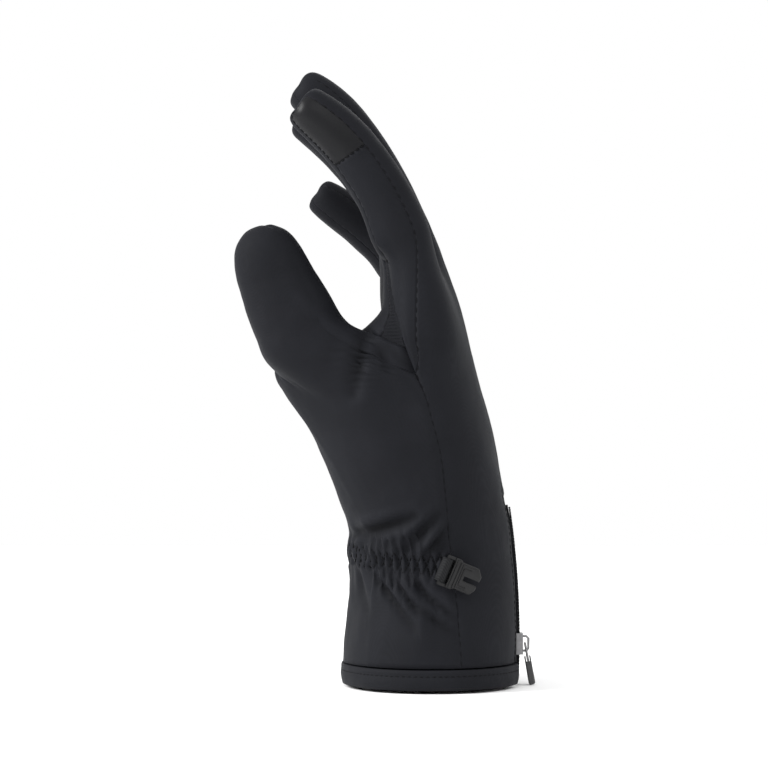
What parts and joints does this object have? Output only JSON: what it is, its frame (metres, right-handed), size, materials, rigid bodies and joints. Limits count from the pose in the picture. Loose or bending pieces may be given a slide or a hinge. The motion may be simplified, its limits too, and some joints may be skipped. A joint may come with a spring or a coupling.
{
  "type": "riding glove",
  "caption": "Right-hand winter riding glove standing fingers up, with a gathered wrist, a zipped cuff, a bound hem and a clip on the side seam.",
  "frame": {"origin": "centre of the cuff mouth, at the wrist", "axes": "+Z from the cuff mouth towards the fingertips, +X out of the back of the hand, -Y towards the thumb side"},
  "size_m": [0.1257, 0.1009, 0.2575],
  "materials": {
    "back_panel": "brushed softshell, matt",
    "palm_panel": "brushed softshell, matt",
    "thumb_panel": "brushed softshell, matt",
    "thumb_inner": "brushed softshell, matt",
    "index_side": "brushed softshell, matt",
    "touch_patch": "smooth coated cloth, slight sheen",
    "rib_patch": "rib knit, matt",
    "fourchette_1": "brushed softshell, matt",
    "fourchette_2": "brushed softshell, matt",
    "fourchette_3": "brushed softshell, matt",
    "hem_binding": "woven binding, matt",
    "zip_tape_near": "woven zip tape",
    "zip_tape_far": "woven zip tape",
    "zip_chain": "moulded coil",
    "zip_slider": "plated die-cast metal",
    "zip_link": "plated wire",
    "zip_grip": "moulded soft plastic, matt",
    "clip_strap": "woven webbing",
    "clip": "moulded plastic, low sheen"
  },
  "bodies": {
    "glove": {"back_panel": "back_panel", "palm_panel": "palm_panel", "thumb_panel": "thumb_panel", "thumb_inner": "thumb_inner", "index_side": "index_side", "touch_patch": "touch_patch", "rib_patch": "rib_patch", "fourchette_1": "fourchette_1", "fourchette_2": "fourchette_2", "fourchette_3": "fourchette_3", "hem_binding": "hem_binding", "zip_tape_near": "zip_tape_near", "zip_tape_far": "zip_tape_far", "zip_chain": "zip_chain", "zip_slider": "zip_slider", "clip_strap": "clip_strap", "clip": "clip"},
    "pull": {"zip_link": "zip_link", "zip_grip": "zip_grip"}
  },
  "joints": [
    {"name": "pull_swing", "type": "hinge", "parent": "glove", "child": "pull", "pos_m": [0.04009, 0, 0.0162], "axis": [0, -1, 0], "range_deg": [0, 150]}
  ]
}
